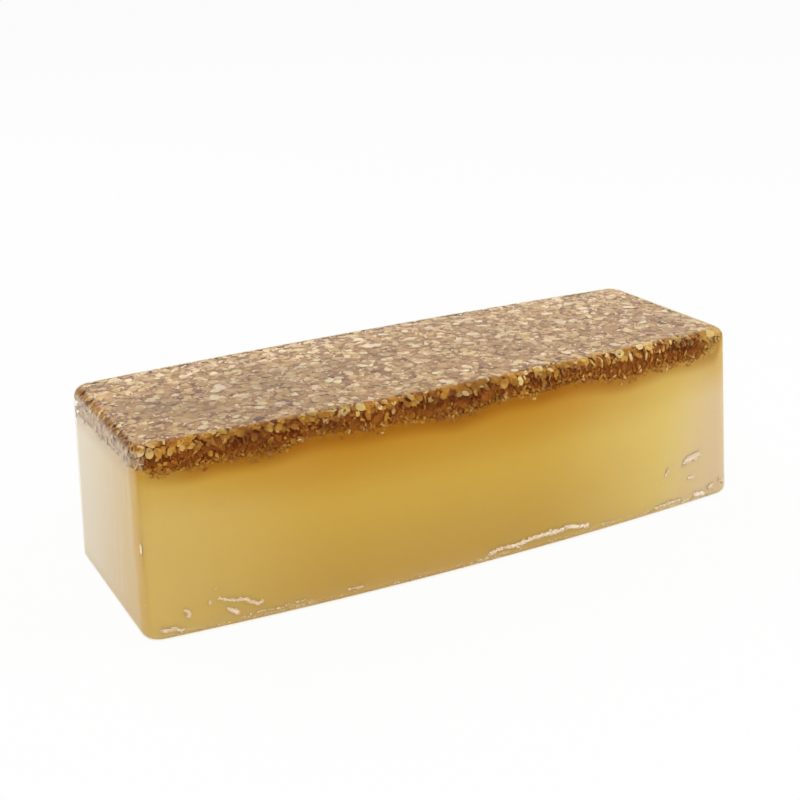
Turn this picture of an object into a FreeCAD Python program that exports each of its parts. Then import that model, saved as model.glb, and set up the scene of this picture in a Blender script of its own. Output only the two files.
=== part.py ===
# A loaf of honey soap with a bed of oat flakes, in millimetres.
# The soap is poured over the flakes in a tapered loaf mould, and the set loaf is turned out upside down,
# so the flakes lie on top and the flat pour surface is the base. The mould's draft makes the base longer
# and wider than the top, and its long walls gave a little, so the long sides bulge, most of all at the base.
# Frame: +X along the loaf, +Z up, origin at the centre of the base.
import FreeCAD, Part
import math
import os

# Size of the top, between its sharp edges, and height of the loaf
TOP_LENGTH = 250.0
TOP_WIDTH = 79.0
HEIGHT = 72.0

# How far each side leans out from the top to the base
END_DRAFT = 2.5
SIDE_DRAFT = 3.0

# How far the middle of each long side stands out from a straight wall
TOP_BULGE = 4.0
BASE_BULGE = 6.4

# Rounding of the upright corners, of the edges round the top and of those round the base
CORNER_ROUND = 6.6
TOP_EDGE_ROUND = 4.2
BASE_EDGE_ROUND = 3.2

# The oat bed: its mean depth under the top, and the height, length and crest of the waves on its underside
BED_DEPTH = 10.4
LONG_WAVE_HEIGHT = 1.1
LONG_WAVE_LENGTH = 88.0
LONG_WAVE_CREST = -20.0
SHORT_WAVE_HEIGHT = 0.7
SHORT_WAVE_LENGTH = 37.0
CROSS_WAVE_HEIGHT = 0.6
CROSS_WAVE_LENGTH = 92.0
WAVE_SKEW = 0.3

# Spacing of the points that shape the bed's underside
SHEET_STEP = 9.0

base_length = TOP_LENGTH + 2 * END_DRAFT
base_width = TOP_WIDTH + 2 * SIDE_DRAFT
SAME_HEIGHT = 1e-4


def outline(length, width, bulge, z):
    """The four-sided outline of the loaf at one height: straight ends and bulging long sides."""
    x = length / 2
    y = width / 2
    front_left = FreeCAD.Vector(-x, -y, z)
    front_right = FreeCAD.Vector(x, -y, z)
    back_right = FreeCAD.Vector(x, y, z)
    back_left = FreeCAD.Vector(-x, y, z)
    front_middle = FreeCAD.Vector(0, -y - bulge, z)
    back_middle = FreeCAD.Vector(0, y + bulge, z)
    return Part.Wire(
        [
            Part.Arc(front_left, front_middle, front_right).toShape(),
            Part.LineSegment(front_right, back_right).toShape(),
            Part.Arc(back_right, back_middle, back_left).toShape(),
            Part.LineSegment(back_left, front_left).toShape(),
        ]
    )


def edges_at(solid, z):
    """The edges whose ends both lie at one height."""
    return [e for e in solid.Edges if all(abs(v.Z - z) < SAME_HEIGHT for v in e.Vertexes)]


def upright_edges(solid):
    """The edges that run from the base to the top."""
    return [e for e in solid.Edges if abs(abs(e.Vertexes[0].Z - e.Vertexes[-1].Z) - HEIGHT) < SAME_HEIGHT]


def whole_loaf():
    """The loaf as it leaves the mould, soap and oat bed together."""
    base = outline(base_length, base_width, BASE_BULGE, 0.0)
    top = outline(TOP_LENGTH, TOP_WIDTH, TOP_BULGE, HEIGHT)
    loaf = Part.makeLoft([base, top], True, True)
    loaf = loaf.makeFillet(CORNER_ROUND, upright_edges(loaf))
    loaf = loaf.makeFillet(TOP_EDGE_ROUND, edges_at(loaf, HEIGHT))
    return loaf.makeFillet(BASE_EDGE_ROUND, edges_at(loaf, 0.0))


def bed_depth(x, y):
    """Depth of the bed's underside below the top, at one place: its mean depth and three slow waves."""
    along = x + WAVE_SKEW * y
    long_wave = LONG_WAVE_HEIGHT * math.cos(math.tau * (along - LONG_WAVE_CREST) / LONG_WAVE_LENGTH)
    short_wave = SHORT_WAVE_HEIGHT * math.sin(math.tau * (x - WAVE_SKEW * y) / SHORT_WAVE_LENGTH)
    cross_wave = CROSS_WAVE_HEIGHT * math.cos(math.tau * y / CROSS_WAVE_LENGTH)
    return BED_DEPTH + long_wave + short_wave + cross_wave


def stations(span):
    """Evenly spaced places that cover a span centred on the loaf, and overrun it by a step at each end."""
    steps = math.ceil(span / SHEET_STEP) + 2
    return [(i - steps / 2) * SHEET_STEP for i in range(steps + 1)]


def below_bed():
    """Everything under the bed's uneven underside, as a block that overruns the loaf."""
    sheet = Part.BSplineSurface()
    sheet.interpolate(
        [
            [FreeCAD.Vector(x, y, HEIGHT - bed_depth(x, y)) for y in stations(base_width + 2 * BASE_BULGE)]
            for x in stations(base_length)
        ]
    )
    return sheet.toShape().extrude(FreeCAD.Vector(0, 0, -2 * HEIGHT))


def save(shape, node):
    """Writes one piece and says how big it is."""
    shape.exportStep(os.path.join("parts", node + ".step"))
    box = shape.optimalBoundingBox()
    size = f"{box.XLength:.2f} x {box.YLength:.2f} x {box.ZLength:.2f} mm"
    print(f"{node}: {len(shape.Solids)} solid, valid {shape.isValid()}, {size}, {shape.Volume / 1000:.1f} cm3")


os.makedirs("parts", exist_ok=True)
loaf = whole_loaf()
under = below_bed()
save(loaf.common(under), "soap_body")
save(loaf.cut(under), "oat_layer")
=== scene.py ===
import math

import bpy
import numpy as np
from mathutils import Matrix, Vector
from mathutils.bvhtree import BVHTree


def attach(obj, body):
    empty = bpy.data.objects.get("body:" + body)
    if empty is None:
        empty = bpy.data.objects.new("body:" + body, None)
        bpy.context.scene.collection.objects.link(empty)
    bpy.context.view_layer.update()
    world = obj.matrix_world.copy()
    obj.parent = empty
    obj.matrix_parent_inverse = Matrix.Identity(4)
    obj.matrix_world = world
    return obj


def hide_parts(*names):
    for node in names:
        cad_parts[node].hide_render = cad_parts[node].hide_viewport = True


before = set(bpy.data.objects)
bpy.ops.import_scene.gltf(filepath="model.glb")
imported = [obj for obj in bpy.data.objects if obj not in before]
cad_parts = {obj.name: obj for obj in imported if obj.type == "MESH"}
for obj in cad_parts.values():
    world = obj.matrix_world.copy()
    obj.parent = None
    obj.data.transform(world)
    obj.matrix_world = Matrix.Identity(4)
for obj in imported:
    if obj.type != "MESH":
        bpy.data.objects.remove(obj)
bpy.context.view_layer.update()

MM = 0.001

# The loaf's outer surface, as it came out of the mould: a glossy, nearly clear film of soap over
# everything else. The mould is tapered and its long walls gave a little, so the sides bulge.
TOP_LENGTH, TOP_WIDTH, HEIGHT = 250 * MM, 79 * MM, 72 * MM
END_DRAFT, SIDE_DRAFT = 2.5 * MM, 3 * MM
TOP_BULGE, BASE_BULGE = 4 * MM, 6.4 * MM
CORNER_ROUND, TOP_ROUND, BASE_ROUND = 6.6 * MM, 4.2 * MM, 3.2 * MM
STATIONS = 32


class Value:
    """A number in a material's node tree, which Python's own operators reckon with."""

    def __init__(self, finish, socket):
        self.finish, self.socket = finish, socket

    def maths(self, operation, *values):
        return self.finish.node("Math", {"operation": operation}, values)

    def __add__(self, other):
        return self.maths("ADD", self, other)

    def __sub__(self, other):
        return self.maths("SUBTRACT", self, other)

    def __rsub__(self, other):
        return self.maths("SUBTRACT", other, self)

    def __mul__(self, other):
        return self.maths("MULTIPLY", self, other)

    def __truediv__(self, other):
        return self.maths("DIVIDE", self, other)

    def __pow__(self, other):
        return self.maths("POWER", self, other)

    def __rpow__(self, other):
        return self.maths("POWER", other, self)

    def __abs__(self):
        return self.maths("ABSOLUTE", self)

    def step(self, start, end):
        """0 before start and 1 after end, easing between them."""
        settings = {"interpolation_type": "SMOOTHSTEP", "clamp": True}
        return self.finish.node("MapRange", settings, {"Value": self, "From Min": start, "From Max": end})

    __radd__, __rmul__ = __add__, __mul__


class Finish:
    """One material: its tree, and the nodes that are asked for."""

    def __init__(self, name):
        self.material = bpy.data.materials.new(name)
        self.material.use_nodes = True
        self.tree = self.material.node_tree
        self.tree.nodes.clear()

    def node(self, kind, settings=(), sockets=(), out=0):
        """A shader node of one kind: its settings are set first, then its sockets take values or links."""
        made = self.tree.nodes.new("ShaderNode" + kind)
        for key, value in dict(settings).items():
            if key == "stops":
                ramp = made.color_ramp
                while len(ramp.elements) < len(value):
                    ramp.elements.new(1.0)
                for element, (place, colour) in zip(ramp.elements, value):
                    element.position, element.color = place, (*colour, 1)
            else:
                setattr(made, key, value)
        pairs = sockets.items() if isinstance(sockets, dict) else enumerate(sockets)
        for key, value in pairs:
            if isinstance(value, Value):
                self.tree.links.new(value.socket, made.inputs[key])
            elif value is not None:
                made.inputs[key].default_value = value
        return Value(self, made.outputs[out])

    def mix(self, share, first, second, blend="MIX"):
        """Two colours in one, second over first by share."""
        first, second = (c if isinstance(c, Value) else (*c, 1) for c in (first, second))
        settings = {"data_type": "RGBA", "blend_type": blend, "clamp_factor": True}
        return self.node("Mix", settings, {0: share, 6: first, 7: second}, out=2)

    def place(self):
        """x, y and z of the point, in metres in the loaf's own frame."""
        self.point = self.node("TexCoord", out="Object")
        split = self.node("SeparateXYZ", (), [self.point]).socket.node
        return [Value(self, s) for s in split.outputs]

    def noise(self, size, detail=3.0, stretch=(1, 1, 1), roughness=0.5):
        """Cloudy noise about 0.5, of patches about size metres across."""
        grain = self.node("VectorMath", {"operation": "MULTIPLY"}, [self.point, stretch])
        sockets = {"Vector": grain, "Scale": 1 / size, "Detail": detail, "Roughness": roughness}
        return self.node("TexNoise", (), sockets)

    def surface(self, shader):
        out = self.tree.nodes.new("ShaderNodeOutputMaterial")
        self.tree.links.new(shader.socket, out.inputs["Surface"])
        return self.material


def srgb(red, green, blue):
    """A colour given as screen values from 0 to 255, as the linear numbers that materials take."""
    shares = (c / 255 for c in (red, green, blue))
    return tuple(s / 12.92 if s <= 0.04045 else ((s + 0.055) / 1.055) ** 2.4 for s in shares)


def half_width(x, z):
    """Half the mould's width, bulge included, at one place along it and one height."""
    low = 1 - z / HEIGHT
    bulge = TOP_BULGE + (BASE_BULGE - TOP_BULGE) * low
    return TOP_WIDTH / 2 + SIDE_DRAFT * low + bulge * (1 - (2 * x / TOP_LENGTH) ** 2)


def pick(what, test):
    """Selects, in edit mode, only the vertices, edges or faces that pass the test."""
    bpy.ops.object.mode_set(mode="OBJECT")
    bpy.context.tool_settings.mesh_select_mode = [what == kind for kind in ("VERT", "EDGE", "FACE")]
    mesh = bpy.context.object.data
    groups = {"VERT": mesh.vertices, "EDGE": mesh.edges, "FACE": mesh.polygons}
    for kind, group in groups.items():
        chosen = [kind == what and bool(test(mesh, part)) for part in group]
        group.foreach_set("select", chosen)
    bpy.ops.object.mode_set(mode="EDIT")


def ends(mesh, edge):
    return [mesh.vertices[i].co for i in edge.vertices]


def begin(name):
    """Names the new primitive, applies its place and leaves it in edit mode."""
    thing = bpy.context.object
    thing.name = thing.data.name = name
    bpy.ops.object.transform_apply(location=True, rotation=True, scale=True)
    bpy.ops.object.mode_set(mode="EDIT")
    return thing


bpy.ops.object.select_all(action="DESELECT")
bpy.ops.mesh.primitive_cube_add(size=1, location=(0, 0, HEIGHT / 2), scale=(TOP_LENGTH, TOP_WIDTH, HEIGHT))
skin = begin("clear_skin")
pick("EDGE", lambda m, e: abs(ends(m, e)[0].x - ends(m, e)[1].x) > MM)
bpy.ops.mesh.subdivide(number_cuts=STATIONS - 1)
for station in range(STATIONS + 1):
    x = TOP_LENGTH * (station / STATIONS - 0.5)
    for z in (0, HEIGHT):
        pick("VERT", lambda m, v: abs(v.co.x - x) < 0.1 * MM and abs(v.co.z - z) < 0.1 * MM)
        bpy.ops.transform.resize(value=(1, half_width(x, z) / (TOP_WIDTH / 2), 1))
pick("VERT", lambda m, v: v.co.z < 0.1 * MM)
bpy.ops.transform.resize(value=(1 + 2 * END_DRAFT / TOP_LENGTH, 1, 1))
pick("EDGE", lambda m, e: abs(ends(m, e)[0].z - ends(m, e)[1].z) > MM and all(abs(c.x) > TOP_LENGTH / 2 - MM for c in ends(m, e)))
bpy.ops.mesh.bevel(offset=CORNER_ROUND, segments=8)


def rim_edge(mesh, edge, z):
    """True for an edge of the outline at one height, which has a level face on one side only."""
    if any(abs(c.z - z) > 0.1 * MM for c in ends(mesh, edge)):
        return False
    return edge.key in rims


for z, size, segments in ((HEIGHT, TOP_ROUND, 6), (0, BASE_ROUND, 5)):
    bpy.ops.object.mode_set(mode="OBJECT")
    counts = {}
    for face in skin.data.polygons:
        if abs(face.normal.z) > 0.9:
            for key in face.edge_keys:
                counts[key] = counts.get(key, 0) + 1
    rims = {key for key, count in counts.items() if count == 1}
    pick("EDGE", lambda m, e: rim_edge(m, e, z))
    bpy.ops.mesh.bevel(offset=size, segments=segments)
bpy.ops.object.mode_set(mode="OBJECT")
bpy.ops.object.shade_smooth()
weighted = skin.modifiers.new("even shading", "WEIGHTED_NORMAL")
weighted.weight = 50
weighted.keep_sharp = False
bpy.ops.object.modifier_apply(modifier=weighted.name)

clear = Finish("moulded soap skin")
x, y, z = clear.place()
waves = clear.noise(14 * MM, 2.0)
bumps = clear.node("Bump", (), {"Strength": 0.1, "Distance": 0.4 * MM, "Height": waves})
inside = clear.node("NewGeometry", out="Backfacing")
lamp_ray = clear.node("LightPath", out="Is Shadow Ray")
mirror = clear.node("Fresnel", (), {"IOR": 1.47, "Normal": bumps})
end = (abs(x) + z * (END_DRAFT / HEIGHT)).step(TOP_LENGTH / 2 + END_DRAFT - 2 * MM, TOP_LENGTH / 2 + END_DRAFT - 0.5 * MM)
ragged = (clear.noise(3.6 * MM, 2.0) - 0.5) * (0.9 * MM)
level = (z + ragged).step(HEIGHT - 0.9 * MM, HEIGHT - 0.15 * MM)
frost = mirror * (0.1 + 0.47 * level + 0.6 * end)
sockets = {"Base Color": (1, 1, 1, 1), "Metallic": 1.0, "Roughness": 0.16, "Normal": bumps}
gloss = clear.node("BsdfPrincipled", (), sockets)
film = clear.node("BsdfTransparent", (), [(0.985, 0.96, 0.9, 1)])
thick_film = clear.node("BsdfTransparent", (), [(0.8, 0.62, 0.3, 1)])
glancing = clear.node("LayerWeight", (), [0.5], out="Facing") ** 9
film = clear.node("MixShader", (), [glancing * (1 - lamp_ray), film, thick_film])
share = frost * (1 - inside) * (1 - lamp_ray)
glazed = clear.node("MixShader", (), [share, film, gloss])
tatters = clear.noise(1.5 * MM, 4.0, roughness=0.7).step(0.47, 0.6)
patches = clear.noise(13 * MM, 3.0, stretch=(0.5, 1, 1)).step(0.46, 0.62)
wear = z.step(4.4 * MM, 2.6 * MM) * z.step(0.6 * MM, 1.8 * MM) * (patches * 0.7 + 0.3) * tatters * (1 - inside)
chalky = clear.node("BsdfDiffuse", (), [(*srgb(240, 222, 200), 1)])
skin.data.materials.append(clear.surface(clear.node("MixShader", (), [wear * 0.45, glazed, chalky])))
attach(skin, "root")

shell = BVHTree.FromPolygons([v.co for v in skin.data.vertices], [p.vertices for p in skin.data.polygons])


def under_skin(points):
    """Each point's depth under the skin, and the skin's outward normal nearest to it."""
    depths, normals = np.empty(len(points)), np.empty((len(points), 3))
    for i, point in enumerate(points):
        near, normal, _, _ = shell.find_nearest(Vector(point))
        depths[i] = (near - Vector(point)).dot(normal)
        normals[i] = normal
    return depths, normals


# Glycerine soap coloured with honey, poured in one go. It is cloudy enough to hide what lies more
# than a few millimetres in, and the light that comes through its ends makes those paler.
SOAP_INSET = 0.45 * MM
SHOULDER = 1.2 * MM
BED_DEPTH = 10.4 * MM
CLEAR_END = 118 * MM


def bed_depth(x, y):
    """Depth of the bed's underside below the top: long and short waves, and thinner at the clear right end."""
    along = x + 0.3 * y
    depth = BED_DEPTH + 1.1 * MM * np.cos(math.tau * (along + 20 * MM) / (88 * MM))
    depth = depth + 0.7 * MM * np.sin(math.tau * (x - 0.3 * y) / (37 * MM)) + 0.6 * MM * np.cos(math.tau * y / (92 * MM))
    return depth - np.clip((x - CLEAR_END) / (4 * MM), 0, 1) * 5.5 * MM


def inner_copy(name, inset):
    """A copy of the skin, smaller by inset all round, in edit mode."""
    bpy.ops.object.mode_set(mode="OBJECT")
    bpy.ops.object.select_all(action="DESELECT")
    copy = bpy.data.objects.new(name, skin.data.copy())
    bpy.context.collection.objects.link(copy)
    copy.data.name = name
    copy.data.materials.clear()
    bpy.context.view_layer.objects.active = copy
    copy.select_set(True)
    bpy.ops.object.mode_set(mode="EDIT")
    bpy.ops.mesh.select_all(action="SELECT")
    sizes = (TOP_LENGTH + END_DRAFT, TOP_WIDTH + SIDE_DRAFT + 2 * TOP_BULGE, HEIGHT)
    bpy.ops.transform.resize(value=[(s - 2 * inset) / s for s in sizes], center_override=(0, 0, HEIGHT / 2))
    return copy


soap = inner_copy("honey_soap", SOAP_INSET)
cut = HEIGHT - BED_DEPTH
bpy.ops.mesh.bisect(plane_co=(0, 0, cut), plane_no=(0, 0, 1), use_fill=True, clear_outer=True)
bpy.ops.object.mode_set(mode="OBJECT")
for vertex in soap.data.vertices:
    if vertex.co.z > cut - 0.1 * MM:
        vertex.co.z = HEIGHT - bed_depth(vertex.co.x, vertex.co.y) + 0.6 * MM
    elif vertex.co.z < HEIGHT / 2:
        vertex.co += Vector((math.copysign(0.2 * MM, vertex.co.x), math.copysign(0.2 * MM, vertex.co.y), -0.2 * MM))
flat_top = {key for face in soap.data.polygons if face.normal.z > 0.8 for key in face.edge_keys}
pick("EDGE", lambda m, e: e.key in flat_top and all(c.z > HEIGHT - 15 * MM for c in ends(m, e)))
bpy.ops.mesh.bevel(offset=SHOULDER, segments=3)
bpy.ops.object.mode_set(mode="OBJECT")
bpy.ops.object.shade_smooth_by_angle(angle=math.radians(50))

honey = Finish("honey soap")


def bed_wave(finish, x, y):
    """bed_depth as a shader value, less its wave across the width."""
    along = (x + 0.3 * y + 20 * MM) * (math.tau / (88 * MM))
    across = (x - 0.3 * y) * (math.tau / (37 * MM))
    depth = finish.node("Math", {"operation": "COSINE"}, [along]) * (1.1 * MM)
    depth = depth + finish.node("Math", {"operation": "SINE"}, [across]) * (0.7 * MM)
    return depth + BED_DEPTH - x.step(CLEAR_END - 1 * MM, CLEAR_END + 4 * MM) * (5.5 * MM)


def end_face(x, z, start, stop):
    """1 at the two end faces of the loaf: start and stop are depths under them."""
    return (abs(x) + z * (END_DRAFT / HEIGHT) - (TOP_LENGTH / 2 + END_DRAFT)).step(-start, -stop)


def soap_colour(finish):
    """The soap's colour at each place: golden, duller at the base, with painted shade (a deeper amber under the oats, a
    painted shadow band just below them) and painted light (paler towards both ends, palest on the end faces).
    """
    x, y, z = finish.place()
    drift = (finish.noise(34 * MM, 2.0) - 0.5) * 2
    colour = finish.mix((z + drift * 3 * MM).step(46 * MM, 4 * MM), srgb(208, 174, 82), srgb(198, 165, 90))
    # Painted shade: the soap a deeper amber under the oats, where their shadow falls.
    amber = z.step(34 * MM, 66 * MM) * (1 - x.step(70 * MM, 128 * MM)) * x.step(-128 * MM, -78 * MM)
    colour = finish.mix(amber, colour, srgb(186, 129, 32))
    # Painted light: the soap paler towards both ends, where light comes in through them, palest and pinkish near the +x
    # end.
    left_end_light = 1 - x.step(-128 * MM, -48 * MM)
    colour = finish.mix(left_end_light, colour, srgb(213, 187, 116))
    upper = (z + drift * 2 * MM).step(42 * MM, 62 * MM)
    right = (x + drift * 4 * MM).step(20 * MM, 114 * MM)
    colour = finish.mix(right * 0.9 * (1 - amber * 0.5), colour, srgb(227, 208, 136))
    pale = (x + (36 * MM - z) * 0.25).step(86 * MM, 126 * MM)
    colour = finish.mix(pale * 0.9, colour, srgb(221, 200, 174))
    # More painted shade of the oats: the soap's upper part a deeper gold, and a deeper amber still around 90 mm towards
    # the -x end.
    colour = finish.mix(upper * 0.7 * (1 - amber), colour, srgb(202, 164, 66))
    golden = x.step(-122 * MM, -92 * MM) * x.step(-60 * MM, -86 * MM)
    colour = finish.mix(upper * golden * 0.6, colour, srgb(196, 150, 24))
    edge = end_face(x, z, 3.2 * MM, 1.8 * MM)
    colour = finish.mix(edge * 0.15, colour, srgb(176, 138, 62))
    # Painted light and painted reflection: the end faces creamy and pale, palest towards the back, where light comes
    # through from behind, with paler streaks up them.
    end = end_face(x, z, 2.2 * MM, 0.8 * MM)
    light_from_behind = (y + (z - 30 * MM) * 0.2).step(-44 * MM, 50 * MM)
    streak = finish.noise(4 * MM, 2.0, stretch=(1, 1, 0.1))
    face = finish.mix(light_from_behind, srgb(211, 177, 108), srgb(238, 230, 214))
    face = finish.mix((streak - 0.5) * 0.4, face, srgb(250, 240, 222))
    colour = finish.mix(end, colour, face)
    # Painted shadow: a brown amber band in the soap just below the bed of oats, paler and greyer on the end faces.
    under = (z + bed_wave(finish, x, y) + drift * 1.2 * MM - HEIGHT).step(-6.5 * MM, 0)
    near = x.step(-126 * MM, -96 * MM) * (1 - right * 0.6) * 0.6 + 0.3
    colour = finish.mix(under * near * (1 - end), colour, srgb(162, 104, 24))
    colour = finish.mix(under * end * 0.4, colour, srgb(188, 156, 122))
    base = z.step(9 * MM, 1 * MM)
    return finish.mix(base * 0.4, colour, srgb(200, 176, 130))


tint = soap_colour(honey)
sockets = {
    "Base Color": tint,
    "Roughness": 0.6,
    "Specular IOR Level": 0.0,
    "Subsurface Weight": 0.7,
    "Subsurface Radius": (5, 3.2, 1.2),
    "Subsurface Scale": MM,
}
soap.data.materials.append(honey.surface(honey.node("BsdfPrincipled", (), sockets)))
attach(soap, "root")
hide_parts("soap_body")

# What shows between the flakes: soap browned by oat dust and bran, lumpy where whole flakes press into it.
BED_INSET = 1.9 * MM
bed = inner_copy("oat_bed", BED_INSET)
low = HEIGHT - 14 * MM
bpy.ops.mesh.bisect(plane_co=(0, 0, low), plane_no=(0, 0, 1), use_fill=True, clear_inner=True)
bpy.ops.object.mode_set(mode="OBJECT")
cells = bed.modifiers.new("even mesh", "REMESH")
cells.mode, cells.voxel_size = "VOXEL", 1.3 * MM
bpy.ops.object.modifier_apply(modifier=cells.name)
points = np.empty(len(bed.data.vertices) * 3)
bed.data.vertices.foreach_get("co", points)
points = points.reshape(-1, 3)
points[:, 2] += np.clip((points[:, 2] - HEIGHT + 4 * MM) / (2 * MM), 0, 1) * (BED_INSET - 0.42 * MM)
rim = np.clip((points[:, 2] - HEIGHT + 5.5 * MM) / (2 * MM), 0, 1) * (np.abs(points[:, 1]) > 0.034)
points[:, 1] += rim * np.sign(points[:, 1]) * 0.7 * MM
rim = np.clip((points[:, 2] - HEIGHT + 5.5 * MM) / (2 * MM), 0, 1) * (np.abs(points[:, 0]) > 0.118)
points[:, 0] += rim * np.sign(points[:, 0]) * 0.7 * MM
near_wall = half_width(points[:, 0], points[:, 2]) - np.abs(points[:, 1]) < 3 * MM
points[:, 1] += near_wall * np.sign(points[:, 1]) * 0.6 * MM
near_end = np.abs(points[:, 0]) > TOP_LENGTH / 2 - 3 * MM
points[:, 0] += near_end * np.sign(points[:, 0]) * 0.8 * MM
hang = np.clip((HEIGHT - 3 * MM - points[:, 2]) / (HEIGHT - 3 * MM - low), 0, 1)
points[:, 2] += hang * (14 * MM - bed_depth(points[:, 0], points[:, 1]))
bed.data.vertices.foreach_set("co", points.ravel())
lumps = bpy.data.textures.new("pressed lumps", "VORONOI")
lumps.noise_scale = 3.6 * MM
swell = bed.modifiers.new("lumps", "DISPLACE")
swell.texture, swell.strength, swell.mid_level = lumps, -0.65 * MM, 0.3
bpy.ops.object.modifier_apply(modifier=swell.name)
bpy.ops.object.shade_smooth()


def shaded_hollows(finish, z):
    """Painted shade: darker patches just under the rim, where the bed's side is loosely packed and shade falls into its
    gaps.
    """
    loose = finish.noise(11 * MM, 1.0, stretch=(1, 1, 1.4)).step(0.5, 0.66)
    return loose * z.step(HEIGHT - 1 * MM, HEIGHT - 2.4 * MM) * z.step(HEIGHT - 8 * MM, HEIGHT - 5 * MM)


filling = Finish("browned soap between the oats")
x, y, z = filling.place()
mottle = filling.noise(2.2 * MM, 4.0, roughness=0.7)
specks = filling.node("TexVoronoi", (), {"Vector": filling.point, "Scale": 1 / (2.6 * MM)}, out="Color")
patch = filling.node("SeparateXYZ", (), [specks])
brown = filling.mix(patch.step(0.2, 0.9), srgb(111, 49, 11), srgb(154, 88, 32))
brown = filling.mix(x.step(0, 110 * MM) * 0.4, brown, srgb(170, 108, 44))
brown = filling.mix(mottle.step(0.45, 0.75) * 0.6, brown, srgb(162, 110, 44))
brown = filling.mix(x.step(110 * MM, 120 * MM) * 0.85, brown, srgb(204, 162, 86))
lit = end_face(x, z, 5 * MM, 3 * MM) * z.step(HEIGHT - 1.8 * MM, HEIGHT - 4 * MM)
brown = filling.mix(lit * 0.92, brown, srgb(220, 188, 150))
upper = filling.mix(patch.step(0.2, 0.9), srgb(134, 96, 54), srgb(174, 134, 86))
upper = filling.mix(mottle.step(0.45, 0.75) * 0.6, upper, srgb(196, 160, 114))
# Painted shade in the loose patches under the rim.
brown = filling.mix(shaded_hollows(filling, z) * 0.65, brown, srgb(78, 28, 6))
brown = filling.mix(z.step(HEIGHT - 1.8 * MM, HEIGHT - 0.9 * MM), brown, upper)
# Near its underside the filling fades into the amber of the soap's painted shadow below the bed.
fade = (z + bed_wave(filling, x, y)).step(HEIGHT + 4.5 * MM, HEIGHT - 0.6 * MM)
brown = filling.mix(fade * 0.9, brown, srgb(158, 100, 26))
sockets = {"Base Color": brown, "Roughness": 0.6, "Specular IOR Level": 0.05}
bed.data.materials.append(filling.surface(filling.node("BsdfPrincipled", (), sockets)))
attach(bed, "root")
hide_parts("oat_layer")

# Rolled oats: groats pressed between rollers into ovals about 5 mm long and under 1 mm thick, with a
# crease down the middle. Broken flakes, slivers of bran and crumbs of flour lie between whole ones.
chance = np.random.default_rng(27)


def master(name):
    """Takes the shaped flake out of the scene and keeps its points, its faces and a shade for each point."""
    bpy.ops.object.mode_set(mode="OBJECT")
    flake = bpy.context.object
    places = np.array([v.co for v in flake.data.vertices])
    faces = [list(p.vertices) for p in flake.data.polygons]
    middle = places.mean(0)
    reach = np.linalg.norm((places - middle)[:, :2], axis=1)
    shade = 1 - 0.08 * np.clip(reach / reach.max(), 0, 1) ** 3
    bpy.data.objects.remove(flake)
    return places - middle, faces, shade


bpy.ops.object.select_all(action="DESELECT")
bpy.ops.mesh.primitive_uv_sphere_add(segments=10, ring_count=4, radius=0.5)
begin("rolled_flake")
bpy.ops.mesh.select_all(action="SELECT")
bpy.ops.transform.resize(value=(1, 0.78, 0.19))
pick("VERT", lambda m, v: v.co.z > 0.03 and abs(v.co.y) < 0.02)
bpy.ops.transform.translate(value=(0, 0, -0.055))
whole = master("rolled_flake")

bpy.ops.mesh.primitive_uv_sphere_add(segments=10, ring_count=4, radius=0.5)
begin("broken_flake")
bpy.ops.mesh.select_all(action="SELECT")
bpy.ops.transform.resize(value=(1, 0.85, 0.2))
bpy.ops.mesh.bisect(plane_co=(0.12, 0, 0), plane_no=(1, 0.35, 0), use_fill=True, clear_outer=True)
broken = master("broken_flake")

bpy.ops.mesh.primitive_uv_sphere_add(segments=8, ring_count=4, radius=0.5)
begin("bran_sliver")
bpy.ops.mesh.select_all(action="SELECT")
bpy.ops.transform.resize(value=(1, 0.34, 0.12))
sliver = master("bran_sliver")

bpy.ops.mesh.primitive_ico_sphere_add(subdivisions=1, radius=0.5)
begin("oat_crumb")
bpy.ops.mesh.select_all(action="SELECT")
bpy.ops.transform.resize(value=(1, 0.8, 0.55))
bpy.ops.transform.vertex_random(offset=0.1, seed=5)
crumb = master("oat_crumb")


def turned(spin, tilt, face):
    """A rotation that spins a flake about its own normal, then leans it by tilt away from the face's normal."""
    up = Vector(face)
    lean = up.orthogonal()
    lean.rotate(Matrix.Rotation(chance.uniform(0, math.tau), 3, up))
    turn = Matrix.Rotation(tilt, 3, lean) @ up.to_track_quat("Z", "Y").to_matrix() @ Matrix.Rotation(spin, 3, "Z")
    return np.array(turn)


oat = Finish("rolled oats in soap")
x, y, z = oat.place()
tone = oat.node("Attribute", {"attribute_name": "tone"}, out="Fac")
shade = oat.node("Attribute", {"attribute_name": "shade"}, out="Fac")
depth = oat.node("Attribute", {"attribute_name": "depth"}, out="Fac")
side = oat.node("Attribute", {"attribute_name": "side"}, out="Fac")
stops = (
    (0.0, srgb(248, 234, 214)),
    (0.12, srgb(240, 222, 194)),
    (0.32, srgb(214, 184, 136)),
    (0.6, srgb(192, 154, 104)),
    (0.84, srgb(160, 118, 74)),
    (0.93, srgb(144, 78, 50)),
    (0.985, srgb(104, 66, 42)),
)
grain = oat.noise(0.8 * MM, 3.0)
bran = oat.noise(2.4 * MM, 3.0)
flour = oat.node("ValToRGB", {"stops": stops}, [tone + (bran - 0.5) * 0.6])
dusk = (abs((x + 80 * MM) / (66 * MM)) ** 2 + abs((y + 9 * MM) / (28 * MM)) ** 2).step(1.3, 0.1)
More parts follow.
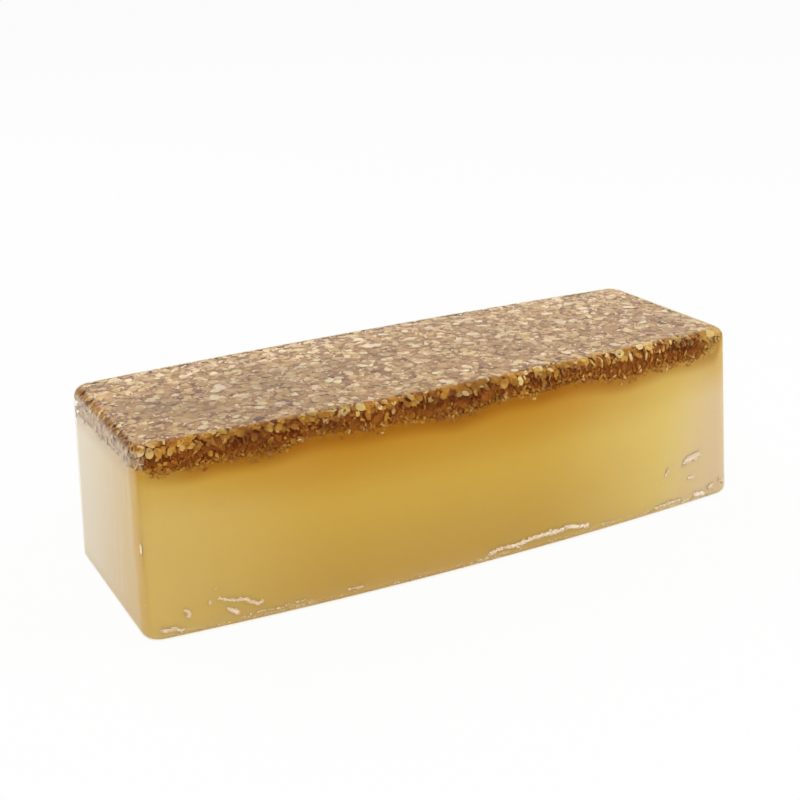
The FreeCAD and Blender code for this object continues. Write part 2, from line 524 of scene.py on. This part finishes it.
# Painted light: top flakes brighter towards the back and the -x end; side flakes brighter towards the +x end and in a
# band 4 to 6 mm below the top.
painted_light = 0.945 + (0.17 * y.step(10 * MM, 36 * MM) + 0.05 * x.step(-100 * MM, -122 * MM)) * (1 - side)
middle = z.step(HEIGHT - 8 * MM, HEIGHT - 6 * MM) * z.step(HEIGHT - 2.5 * MM, HEIGHT - 4 * MM)
painted_light = painted_light + (0.2 * x.step(-10 * MM, 100 * MM) + 0.05 + 0.1 * middle) * side
patches = (oat.noise(24 * MM, 2.0) - 0.5) * (0.75 + 0.6 * side) + (oat.noise(9 * MM, 2.0) - 0.5) * (0.3 + side * 0.7) + 1
lightness = shade * (grain * 0.14 + 0.93) * (1 - 0.2 * dusk * (1 - side)) * patches * painted_light
lightness = oat.node("Math", {"operation": "MINIMUM"}, [lightness, 1.1])
flour = oat.mix(1.0, flour, oat.node("CombineXYZ", (), [lightness] * 3), "MULTIPLY")
hue = oat.mix(oat.noise(5 * MM, 2.0).step(0.4, 0.6), srgb(250, 251, 236), srgb(248, 240, 246))
flour = oat.mix(1.0, flour, hue, "MULTIPLY")
lit = end_face(x, z, 5 * MM, 2 * MM) * z.step(HEIGHT - 1.8 * MM, HEIGHT - 4 * MM)
russet = oat.noise(9 * MM, 2.0).step(0.56, 0.7) * (1 - side)
flour = oat.mix(russet * 0.45, flour, srgb(150, 98, 74))
flour = oat.mix(y.step(18 * MM, 38 * MM) * (1 - side) * 0.17, flour, srgb(236, 224, 206))
path = (depth - 0.14) * (0.4 + side * (0.95 - 0.85 * lit)) + side * 0.1
soaked = oat.node("CombineXYZ", (), [0.68 ** path, 0.44 ** path, 0.2 ** path])
flour = oat.mix(1.0, flour, soaked, "MULTIPLY")
flour = oat.mix(side * (1 - 0.6 * lit), flour, oat.mix(1.0, flour, oat.mix(tone.step(0.05, 0.35), srgb(238, 238, 206), srgb(232, 214, 146)), "MULTIPLY"))
haze = oat.mix(lit, srgb(146, 80, 26), srgb(222, 188, 150))
flour = oat.mix(side * (1 - 0.54 ** path), flour, haze)
# Painted shade: the side flakes darkened in the loose patches under the rim, except at the end faces.
flour = oat.mix(side * shaded_hollows(oat, z) * 0.42 * (1 - lit), flour, srgb(86, 34, 10))
flour = oat.mix(side * lit * 0.55, flour, srgb(232, 212, 184))
rim = side * z.step(HEIGHT - 3 * MM, HEIGHT - 1.6 * MM) * tone.step(0, 0.25) * (1 - lit)
flour = oat.mix(rim * 0.9, flour, oat.mix(1.0, flour, srgb(240, 226, 182), "MULTIPLY"))
# The flakes near the bed's underside fade into the soap there: the amber of its painted shadow, pale with painted light
# at the end faces.
fade = (z + bed_wave(oat, x, y)).step(HEIGHT + 4.5 * MM, HEIGHT - 0.6 * MM)
amber = oat.mix(lit, srgb(166, 104, 32), srgb(224, 194, 144))
below = (z + bed_wave(oat, x, y)).step(HEIGHT + 0.2 * MM, HEIGHT - 1.2 * MM) * depth.step(0.2, 0.4) * 0.4
flour = oat.mix(side * (fade * 0.8 * (depth.step(0.2, 1.1) * 0.65 + 0.35) + below), flour, amber)
flour = oat.mix(side * x.step(108 * MM, 119 * MM) * 0.6, flour, srgb(216, 186, 116))
sockets = {
    "Base Color": flour,
    "Roughness": 0.5,
    "Specular IOR Level": 0.1,
}
oat_finish = oat.surface(oat.node("BsdfPrincipled", (), sockets))


def strew(name, places, kinds, sizes, spins, tilts, normals, tones, cover=0.14 * MM):
    """One piece made of a flake at each place, bent and uneven each in its own way, and kept under the skin."""
    points, shades, tone_of, below_top, faces, sizes_of_faces, first = [], [], [], [], [], [], 0
    for place, kind, size, spin, tilt, normal, tone in zip(places, kinds, sizes, spins, tilts, normals, tones):
        shape, corners, shade = kind
        body = shape * size
        below_top.append(body[:, 2].max() - body[:, 2])
        angle = np.arctan2(body[:, 1], body[:, 0])
        wobble = 1 + sum(swing * np.sin(n * angle + chance.uniform(0, 6)) for n, swing in ((2, 0.1), (3, 0.09), (4, 0.05)))
        body[:, :2] *= wobble[:, None]
        body[:, 2] += chance.normal(0, 14) * body[:, 0] ** 2 + chance.normal(0, 14) * body[:, 1] ** 2
        points.append(body @ turned(spin, tilt, normal).T + place)
        shades.append(shade)
        tone_of.append(np.full(len(shape), tone))
        faces += [first + i for face in corners for i in face]
        sizes_of_faces += [len(face) for face in corners]
        first += len(shape)
    points = np.concatenate(points)
    depths, outward = under_skin(points)
    least = cover + 0.8 * np.minimum(np.concatenate(below_top), 0.6 * MM)
    points -= np.clip(least - depths, 0, None)[:, None] * outward
    mesh = bpy.data.meshes.new(name)
    mesh.vertices.add(len(points))
    mesh.vertices.foreach_set("co", points.ravel())
    mesh.loops.add(len(faces))
    mesh.loops.foreach_set("vertex_index", faces)
    mesh.polygons.add(len(sizes_of_faces))
    mesh.polygons.foreach_set("loop_start", np.cumsum([0] + sizes_of_faces[:-1]))
    mesh.update(calc_edges=True)
    mesh.validate()
    mesh.shade_smooth()
    own = np.empty(points.size)
    mesh.vertices.foreach_get("normal", own)
    softened = own.reshape(-1, 3) + 2 * outward
    mesh.normals_split_custom_set_from_vertices(softened / np.linalg.norm(softened, axis=1)[:, None])
    wall = half_width(points[:, 0], points[:, 2]) - np.abs(points[:, 1])
    wall = np.minimum(wall, TOP_LENGTH / 2 + END_DRAFT * (1 - points[:, 2] / HEIGHT) - np.abs(points[:, 0]))
    side = np.maximum(np.clip((HEIGHT - points[:, 2]) / MM / 2 - 0.8, 0, 1), np.clip((5.5 - wall / MM) / 3, 0, 1))
    values = {"tone": np.concatenate(tone_of), "shade": np.concatenate(shades), "side": side}
    values["depth"] = np.clip(depths / MM, 0.14, 3)
    for key, numbers in values.items():
        mesh.attributes.new(key, "FLOAT", "POINT").data.foreach_set("value", numbers)
    piece = bpy.data.objects.new(name, mesh)
    bpy.context.collection.objects.link(piece)
    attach(piece, "root")
    return piece


def choose(count, shares):
    """Kinds of flake and their sizes, by their shares of the mix."""
    kinds, sizes = [], []
    for draw in chance.random(count):
        if draw < shares[0]:
            kinds.append(whole)
            sizes.append(chance.normal(4.4, 0.75) * MM * np.array([1, chance.uniform(0.85, 1.08), chance.uniform(0.8, 1.2)]))
        elif draw < shares[0] + shares[1]:
            kinds.append(broken)
            sizes.append(chance.uniform(2.2, 4.6) * MM * np.array([1, chance.uniform(0.8, 1.1), 1.1]))
        else:
            kinds.append(sliver)
            sizes.append(chance.uniform(2.6, 5.2) * MM * np.array([1, chance.uniform(0.7, 1.4), 1.1]))
    return kinds, sizes


# The flakes that were poured first settled flat on the mould's floor, which is now the top, in about three layers.
LAYERS = ((0.34 * MM, 4.2 * MM, 0.04, 0.65), (0.5 * MM, 3.2 * MM, 0.1, 0.8))
for number, (layer_depth, spacing, lean, thickness) in enumerate(LAYERS):
    rows = []
    for row in range(int(0.1 / (spacing * 0.866)) + 1):
        for column in range(int(0.26 / spacing) + 1):
            spot = np.array([(column + 0.5 * (row % 2)) * spacing - 0.13, row * spacing * 0.866 - 0.05])
            spot += chance.normal(0, 0.22 * spacing, 2)
            rows.append((*spot, HEIGHT - layer_depth - chance.uniform(0, 0.4) * MM))
    rows = np.array(rows)
    room = np.clip(half_width(rows[:, 0], HEIGHT) - 1.2 * MM, 0, None)
    inside_top = (np.abs(rows[:, 0]) < TOP_LENGTH / 2 - 1.2 * MM) & (np.abs(rows[:, 1]) < room)
    rows = rows[inside_top]
    depths, normals = under_skin(rows)
    rows += np.clip(depths - layer_depth, None, 0)[:, None] * normals
    kinds, sizes = choose(len(rows), (0.62 - 0.3 * number, 0.3 + 0.25 * number))
    sizes = [size * (1, 1, thickness) for size in sizes]
    tilts = np.abs(chance.normal(0, lean, len(rows)))
    tones = np.clip(chance.beta(1.3, 1.7, len(rows)) + 0.06 * number, 0, 1)
    from_rim = np.minimum(half_width(rows[:, 0], HEIGHT) - np.abs(rows[:, 1]), TOP_LENGTH / 2 - np.abs(rows[:, 0]))
    tones *= 0.7 + 0.3 * np.clip((from_rim - 2 * MM) / (5 * MM), 0, 1)
    layer = strew(f"oat_flakes_top_{number + 1}", rows, kinds, sizes, chance.uniform(0, math.tau, len(rows)), tilts, normals, tones)
    layer.data.materials.append(oat_finish)

# Round the four sides the bed shows its thickness: flakes lie every way, edge on and face on, and a few hang below it.
loop = []
for side_y in (-1, 1):
    loop += [(s, "long", side_y) for s in np.arange(-0.122, 0.122, 2.2 * MM)]
for side_x in (-1, 1):
    loop += [(s, "end", side_x) for s in np.arange(-0.037, 0.037, 2.2 * MM)]
LAYERS = (
    (1.9 * MM, 8, 1.1, 1.1, 0.8, (0.25, 0.45), 0.78, (4, 4)),
    (1.1 * MM, 8, 0.7, 0.5, 0.7, (0.3, 0.4), 0.8, (4, 4)),
    (0.5 * MM, 7, 0.4, 0.1, 0.5, (0.45, 0.4), 0.8, (3, 3.4)),
)
for number, (layer_depth, rows, top_share, low_share, lean, mixture, scale, pale) in enumerate(LAYERS):
    spots, drops = [], []
    for along, wall, sign in loop:
        for row in range(rows):
            share = (row + chance.uniform(0, 1)) / rows
            if chance.random() > top_share + (low_share - top_share) * share:
                continue
            a = along + chance.normal(0, 1.1 * MM)
            x, y = (a, sign * 0.06) if wall == "long" else (sign * 0.14, a)
            limit = bed_depth(np.clip(x, -0.125, 0.125), np.clip(y, -0.04, 0.04))
            drop = share * (limit - 0.6 * MM + chance.normal(0, 1.3) * MM) + 1 * MM
            z = HEIGHT - drop
            inset = layer_depth + chance.uniform(-0.3, 0.3) * MM
            if wall == "long":
                y = sign * (half_width(a, z) - inset)
            else:
                x = sign * (TOP_LENGTH / 2 + END_DRAFT * (1 - z / HEIGHT) - inset)
            if x > CLEAR_END + 1.5 * MM and drop > 5 * MM:
                continue
            spots.append((x, y, z))
            drops.append(share)
    spots, drops = np.array(spots), np.clip(drops, 0, 1)
    depths, normals = under_skin(spots)
    spots -= np.clip(layer_depth - depths, 0, None)[:, None] * normals
    kinds, sizes = choose(len(spots), mixture)
    narrow = 0.85 - 0.3 * np.clip((spots[:, 0] + 0.04) / 0.08, 0, 1)
    sizes = [size * scale * (1 - 0.3 * drop) * (1, slim, 1) for size, drop, slim in zip(sizes, drops, narrow)]
    tilts = np.abs(chance.normal(0, lean, len(spots)))
    tones = chance.beta(*pale, len(spots))
    spins = chance.normal(math.pi / 2, 0.5, len(spots))
    layer = strew(f"oat_flakes_side_{number + 1}", spots, kinds, sizes, spins, tilts, normals, tones)
    layer.data.materials.append(oat_finish)

# Along the rim the flakes turn over from the top to the sides. They lie close under the skin there, so they show palest.
RIM_DEPTH = 0.3 * MM
spots = []
for along, wall, sign in loop * 2:
    a, turn = along + chance.normal(0, 1.1 * MM), math.radians(chance.uniform(14, 72))
    radius = TOP_ROUND - RIM_DEPTH - chance.uniform(0, 0.3) * MM
    z, inset = HEIGHT - TOP_ROUND + radius * math.sin(turn), TOP_ROUND - radius * math.cos(turn)
    if wall == "long":
        spots.append((a, sign * (half_width(a, z) - inset), z))
    else:
        spots.append((sign * (TOP_LENGTH / 2 + END_DRAFT * (1 - z / HEIGHT) - inset), a, z))
spots = np.array(spots)
depths, normals = under_skin(spots)
spots -= np.clip(RIM_DEPTH - depths, 0, None)[:, None] * normals
kinds, sizes = choose(len(spots), (0.5, 0.35))
slim = 0.95 - 0.3 * np.clip((spots[:, 0] - 0.02) / 0.06, 0, 1)
sizes = [size * 0.75 * (1, width, 1) for size, width in zip(sizes, slim)]
tilts, spins = np.abs(chance.normal(0, 0.2, len(spots))), chance.normal(math.pi / 2, 0.7, len(spots))
rim_flakes = strew("oat_flakes_rim", spots, kinds, sizes, spins, tilts, normals, chance.beta(1.1, 1.5, len(spots)))
rim_flakes.data.materials.append(oat_finish)

# Crumbs of oat and bran that broke off the flakes: pale ones in the top, and dark ones that hang in the soap below the bed.
places, tones, widths = [], [], []
for _ in range(2400):
    x, y = chance.uniform(-0.123, 0.123), chance.uniform(-0.042, 0.042)
    places.append((x, y * half_width(x, HEIGHT) / 0.0435, HEIGHT - chance.uniform(0.25, 0.5) * MM))
    tones.append(chance.choice((0.02, 0.1, 0.25, 0.5, 0.8, 0.95), p=(0.16, 0.22, 0.22, 0.22, 0.12, 0.06)))
    widths.append(chance.uniform(0.7, 1.9))
for _ in range(1800):
    x, sign = chance.uniform(-0.121, 0.121), chance.choice((-1, 1))
    z = HEIGHT - bed_depth(x, sign * 0.043) + max(chance.normal(0.6, 1.3), -1.6) * MM
    if x < CLEAR_END or z > HEIGHT - 5 * MM:
        places.append((x, sign * (half_width(x, z) - chance.uniform(0.3, 0.8) * MM), z))
        tones.append(chance.beta(2.4, 2.2))
        widths.append(chance.uniform(0.9, 2.6))
for _ in range(150):
    x, z, sign = chance.uniform(-0.12, 0.12), chance.uniform(6, 60) * MM, chance.choice((-1, 1))
    places.append((x, sign * (half_width(x, z) - 0.26 * MM), z))
    tones.append(chance.choice((0.0, 0.15, 0.9, 0.98)))
    widths.append(chance.uniform(0.25, 0.55))
for x, z, tone, width in ((-112, 61.4, 0.98, 0.9), (-47.4, 63.4, 0.0, 2.2), (-34.7, 60.5, 0.05, 1.7), (-66.3, 64.1, 0.0, 2.0)):
    places.append((x * MM, 0.2 * MM - half_width(x * MM, z * MM), z * MM))
    tones.append(tone)
    widths.append(width)
places = np.array(places)
_, normals = under_skin(places)
sizes = [width * MM * np.array([1, chance.uniform(0.4, 1), 0.45]) for width in widths]
spins, tilts = chance.uniform(0, math.tau, len(places)), np.abs(chance.normal(0, 0.3, len(places)))
crumbs = strew("oat_crumbs", places, [crumb] * len(places), sizes, spins, tilts, normals, tones)
crumbs.data.materials.append(oat_finish)

# Soap shavings and scuffs: where the loaf was handled and slid on the bench, pale crumbs of dry soap stick to its
# front and along its base edge. Each mark is a line of points (x, z) in mm, its width in mm, its number of crumbs and how pale it is.
MARKS = (
    (((-101.5, 13.0), (-99.3, 11.6), (-95.8, 10.5), (-92.2, 10.0), (-89.2, 8.5), (-86.9, 7.0), (-85.1, 7.7)), 1.0, 110, 0.35),
    (((-112.9, 10.6), (-111.3, 9.0), (-112.5, 7.7)), 1.2, 34, 0.3),
    (((-103.7, 12.3), (-104.3, 10.5)), 0.8, 14, 0.1),
    (((-97.9, 7.5), (-94.1, 5.3)), 1.2, 40, 0.4),
    (((-102.3, 16.1), (-101.6, 16.0)), 0.6, 7, 0.15),
    (((-99.9, 15.6), (-99.5, 15.5)), 0.4, 3, 0.1),
    (((-121.6, 4.7), (-117.2, 4.5), (-114.5, 2.8)), 1.2, 44, 0.35),
    (((6.2, 4.2), (10.0, 5.3), (16.7, 5.0)), 1.0, 60, 0.4),
    (((16.7, 5.0), (22.8, 5.4), (27.5, 6.1), (31.3, 6.2), (37.5, 6.1), (42.3, 6.6)), 1.4, 150, 0.6),
    (((42.3, 6.6), (47.9, 5.4), (51.9, 4.8)), 1.2, 60, 0.65),
    (((101.3, 19.5), (109.8, 21.4)), 2.0, 110, 0.5),
    (((91.9, 16.7), (93.3, 18.5)), 1.0, 20, 0.3),
    (((103.5, 12.1), (106.2, 12.1)), 1.0, 22, 0.4),
    (((114.7, 5.2), (117.0, 6.1)), 1.2, 26, 0.4),
    (((120.3, 7.5), (122.7, 6.0)), 1.0, 18, 0.4),
    (((85.6, 3.5), (92.7, 3.9), (99.9, 4.2)), 0.9, 60, 0.4),
    (((106.8, 4.0), (112.4, 3.6)), 1.3, 50, 0.75),
    (((58.4, 3.6), (65.1, 3.4)), 0.6, 20, 0.2),
    (((-94.0, 3.4), (-85.4, 4.0), (-80.4, 3.6), (-72.2, 4.4), (-67.1, 4.3)), 0.6, 46, 0.1),
    (((-54.1, 4.6), (-48.9, 4.3), (-44.9, 4.3)), 0.7, 20, 0.15),
    (((-130, 34.2), (-130, 37.0)), 0.8, 18, 0.7),
    (((-129, 14), (-128.5, 44), (-128, 60)), 0.3, 26, 0.3),
)
shavings, spins, sizes, dryness = [], [], [], []
for line, width, count, paleness in MARKS:
    line = np.array(line)
    along = np.concatenate([[0], np.cumsum(np.linalg.norm(np.diff(line, axis=0), axis=1))])
    for _ in range(count):
        at = chance.uniform(0, along[-1])
        piece = min(np.searchsorted(along, at, side="right"), len(line) - 1)
        run = line[piece] - line[piece - 1]
        x, z = line[piece - 1] + run * (at - along[piece - 1]) / (along[piece] - along[piece - 1])
        stray = chance.normal(0, 0.36)
        x, z = x + chance.normal(0, 0.2 * width), max(z + stray * width, 1.2)
        shavings.append((x * MM, -half_width(x * MM, z * MM) - 0.3 * MM, z * MM))
        spins.append(math.atan2(run[1], run[0]) + chance.normal(0, 0.4))
        length = chance.uniform(0.7, 2.4) * min(width, 1) * MM
        sizes.append(np.array([length, min(length, chance.uniform(0.6, 1.2) * MM), 0.36 * MM]))
        dryness.append(np.clip(paleness * (1.25 - abs(stray)) + chance.normal(0, 0.15), 0, 1))
for _ in range(300):
    x, z, sign = chance.uniform(-0.118, 0.118), 3.2 * MM - abs(chance.normal(0, 0.9)) * MM, chance.choice((-1, 1))
    shavings.append((x, sign * (half_width(x, max(z, MM)) - 0.4 * MM), max(z, MM)))
    spins.append(chance.normal(0, 0.5))
    sizes.append(np.array([chance.uniform(0.4, 1.2), 0.5, 0.36]) * MM)
    dryness.append(chance.uniform(0.1, 0.7))
shavings = np.array(shavings)
depths, normals = under_skin(shavings)
shavings += (depths - 0.06 * MM)[:, None] * normals
flat = np.abs(chance.normal(0, 0.08, len(shavings)))
scuffs = strew("soap_shavings", shavings, [crumb] * len(shavings), sizes, spins, flat, normals, dryness, cover=-MM)
dry = Finish("dry soap crumbs")
dry.place()
tone = dry.node("Attribute", {"attribute_name": "tone"}, out="Fac")
powder = tone + (dry.noise(1.2 * MM, 3.0) - 0.5) * 0.5
chalk = dry.mix(powder.step(-0.1, 1.1), srgb(208, 174, 122), srgb(255, 240, 222))
sockets = {"Base Color": chalk, "Roughness": 0.65}
scuffs.data.materials.append(dry.surface(dry.node("BsdfPrincipled", (), sockets)))

# A white sweep that keeps the loaf's soft shadow, white surroundings and large soft lamps.
bpy.ops.mesh.primitive_plane_add(size=8)
floor = bpy.context.object
floor.name = "floor"
white = Finish("white floor")
path = white.tree.nodes.new("ShaderNodeLightPath")
seen = Value(white, path.outputs["Is Camera Ray"])
seen = seen + Value(white, path.outputs["Is Glossy Ray"]) + Value(white, path.outputs["Is Transmission Ray"])
matt = white.node("BsdfDiffuse", (), [(0.86, 0.86, 0.86, 1)])
plain = white.node("Emission", (), [(1, 1, 1, 1), 1.0])
floor.data.materials.append(white.surface(white.node("MixShader", (), [seen * 0.93, matt, plain])))

world = bpy.data.worlds.new("white room")
bpy.context.scene.world = world
world.use_nodes = True
tree = world.node_tree
tree.nodes.clear()
path = tree.nodes.new("ShaderNodeLightPath")
either = tree.nodes.new("ShaderNodeMath")
either.operation = "MAXIMUM"
tree.links.new(path.outputs["Is Camera Ray"], either.inputs[0])
tree.links.new(path.outputs["Is Glossy Ray"], either.inputs[1])
room, backdrop, both, out = (tree.nodes.new("ShaderNode" + k) for k in ("Background", "Background", "MixShader", "OutputWorld"))
room.inputs["Color"].default_value = (1, 0.99, 0.97, 1)
room.inputs["Strength"].default_value = 0.62
backdrop.inputs["Color"].default_value = (1, 1, 1, 1)
backdrop.inputs["Strength"].default_value = 1.0
tree.links.new(either.outputs[0], both.inputs[0])
tree.links.new(room.outputs[0], both.inputs[1])
tree.links.new(backdrop.outputs[0], both.inputs[2])
tree.links.new(both.outputs[0], out.inputs["Surface"])

LAMPS = (
    ("key_lamp", (-0.5, -0.9, 1.3), 0.9, 9),
    ("fill_lamp", (1.0, -0.5, 0.8), 0.8, 4),
    ("back_lamp", (-0.3, 1.1, 1.0), 0.8, 4),
)
for name, place, size, power in LAMPS:
    lamp = bpy.data.lights.new(name, "AREA")
    lamp.size, lamp.energy = size, power
    holder = bpy.data.objects.new(name, lamp)
    bpy.context.collection.objects.link(holder)
    holder.location = place
    holder.rotation_euler = (Vector((0, 0, 0.04)) - Vector(place)).to_track_quat("-Z", "Y").to_euler()

camera_data = bpy.data.cameras.new("camera")
camera = bpy.data.objects.new("camera", camera_data)
bpy.context.collection.objects.link(camera)
camera_data.lens, camera_data.sensor_width = 63.71, 36
camera_data.clip_start = 0.01
forward, up = Vector((0.4215, 0.8415, -0.3381)).normalized(), Vector((0.1826, 0.2865, 0.9405))
right = forward.cross(up).normalized()
up = right.cross(forward)
camera.matrix_world = Matrix.Translation((-0.2403, -0.4690, 0.2424)) @ Matrix((right, up, -forward)).transposed().to_4x4()
bpy.context.scene.camera = camera
bpy.context.scene.view_settings.view_transform = "Standard"
